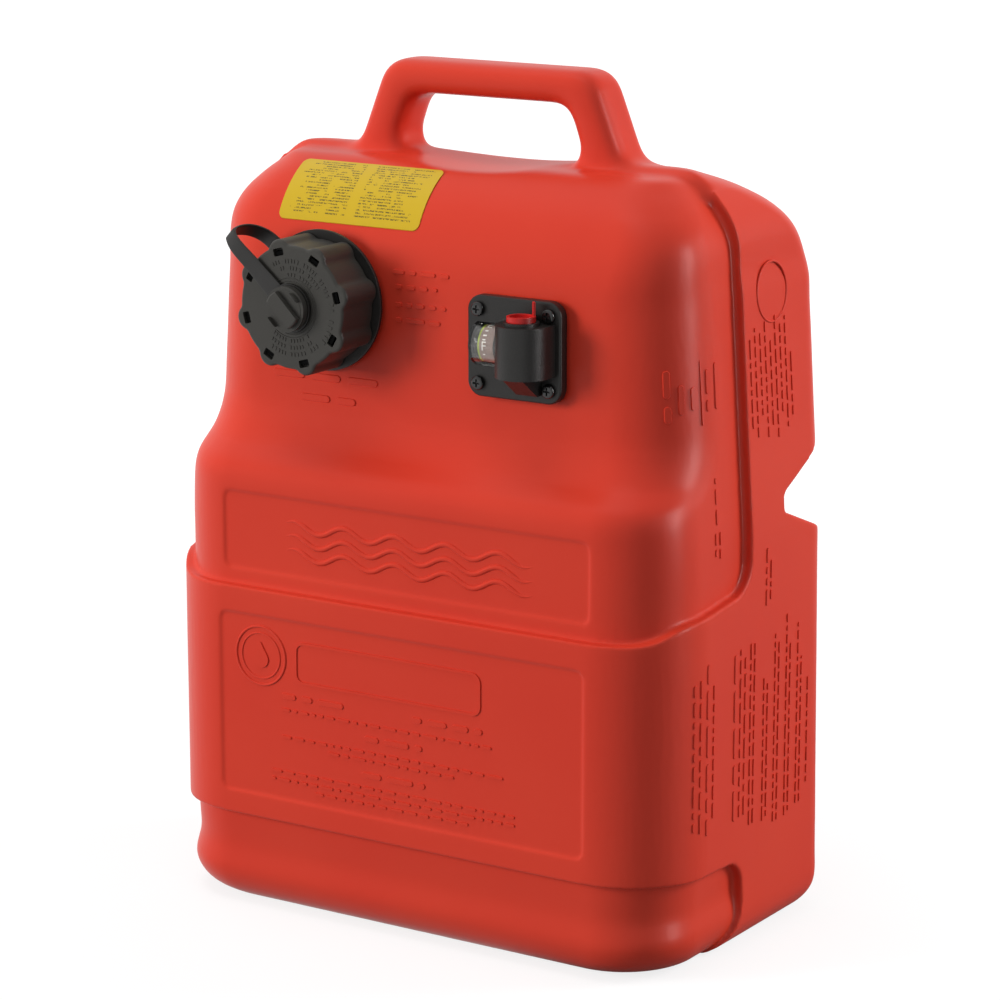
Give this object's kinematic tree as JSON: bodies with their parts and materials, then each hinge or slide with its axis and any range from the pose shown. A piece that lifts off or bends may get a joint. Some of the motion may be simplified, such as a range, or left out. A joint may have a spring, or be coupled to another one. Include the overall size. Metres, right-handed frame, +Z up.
{
  "type": "outboard fuel tank",
  "caption": "Upright portable fuel tank with loop handle, screw filler cap with vent knob and tether, float gauge flange with hose elbow, and strap groove.",
  "frame": {"origin": "centre of the base, on the surface the tank stands on, midway between its sides and between the front and back of its body", "axes": "+Z up along the height, +Y towards the back with the strap groove, -Y towards the filler cap and gauge, +X to the right seen from the front"},
  "size_m": [0.3602, 0.216, 0.5115],
  "materials": {
    "tank_red": "satin moulded polyethylene",
    "label_film": "printed vinyl film",
    "tether_plastic": "soft moulded polyethylene",
    "cap_black": "fine textured polypropylene",
    "liner_black": "moulded polyethylene",
    "black_rubber": "matt nitrile",
    "flange_nylon": "glass filled nylon",
    "black_steel": "black coated",
    "clear_lens": "clear moulded acrylic",
    "bright_steel": "drawn wire",
    "drum_plastic": "moulded",
    "dial_print": "printed",
    "float_foam": "closed-cell foam",
    "tube_plastic": "natural nylon",
    "plug_red": "soft polyethylene"
  },
  "bodies": {
    "tank": {"tank_front": "tank_red", "tank_back": "tank_red", "tank_handle": "tank_red", "filler_neck": "tank_red", "label": "label_film", "tether_collar": "tether_plastic", "tether_strap": "tether_plastic", "gauge_flange": "flange_nylon", "flange_gasket": "black_rubber", "flange_screws": "black_steel", "gauge_lens": "clear_lens", "pivot_pin": "bright_steel", "pickup_tube": "tube_plastic", "pickup_strainer": "tube_plastic"},
    "cap_tether": {"tether_ring": "tether_plastic"},
    "filler_cap": {"filler_cap": "cap_black", "cap_liner": "liner_black", "cap_gasket": "black_rubber"},
    "vent_lift": {"vent_seal": "black_rubber"},
    "vent_knob": {"vent_knob": "cap_black"},
    "gauge_float": {"gauge_drum": "drum_plastic", "dial_strip": "dial_print", "float_arm": "bright_steel", "gauge_float": "float_foam", "float_clip": "bright_steel"},
    "port_plug": {"port_plug": "plug_red"}
  },
  "joints": [
    {"name": "cap_lift", "type": "slide", "parent": "tank", "child": "cap_tether", "axis": [0, -1, 0], "range_m": [0, 0.0076], "deforming": ["tether_strap"]},
    {"name": "cap_turn", "type": "hinge", "parent": "cap_tether", "child": "filler_cap", "pos_m": [-0.0705, -0.104, 0.3753], "axis": [0, -1, 0], "range_deg": [0, 450]},
    {"name": "vent_lift", "type": "slide", "parent": "filler_cap", "child": "vent_lift", "axis": [0, -1, 0], "range_m": [0, 0.0025]},
    {"name": "vent_turn", "type": "hinge", "parent": "vent_lift", "child": "vent_knob", "pos_m": [-0.0705, -0.104, 0.3753], "axis": [0, -1, 0], "range_deg": [0, 360]},
    {"name": "float_swing", "type": "hinge", "parent": "tank", "child": "gauge_float", "pos_m": [0.051, -0.073, 0.3615], "axis": [1, 0, 0], "range_deg": [0, 75]},
    {"name": "plug_pull", "type": "slide", "parent": "tank", "child": "port_plug", "axis": [0, 0, 1], "range_m": [0, 0.014]}
  ],
  "couplings": [
    {"joint": "cap_lift", "follows": "cap_turn", "m_per_rad": 0.00095493},
    {"joint": "vent_lift", "follows": "vent_turn", "m_per_rad": 0.00038197}
  ]
}
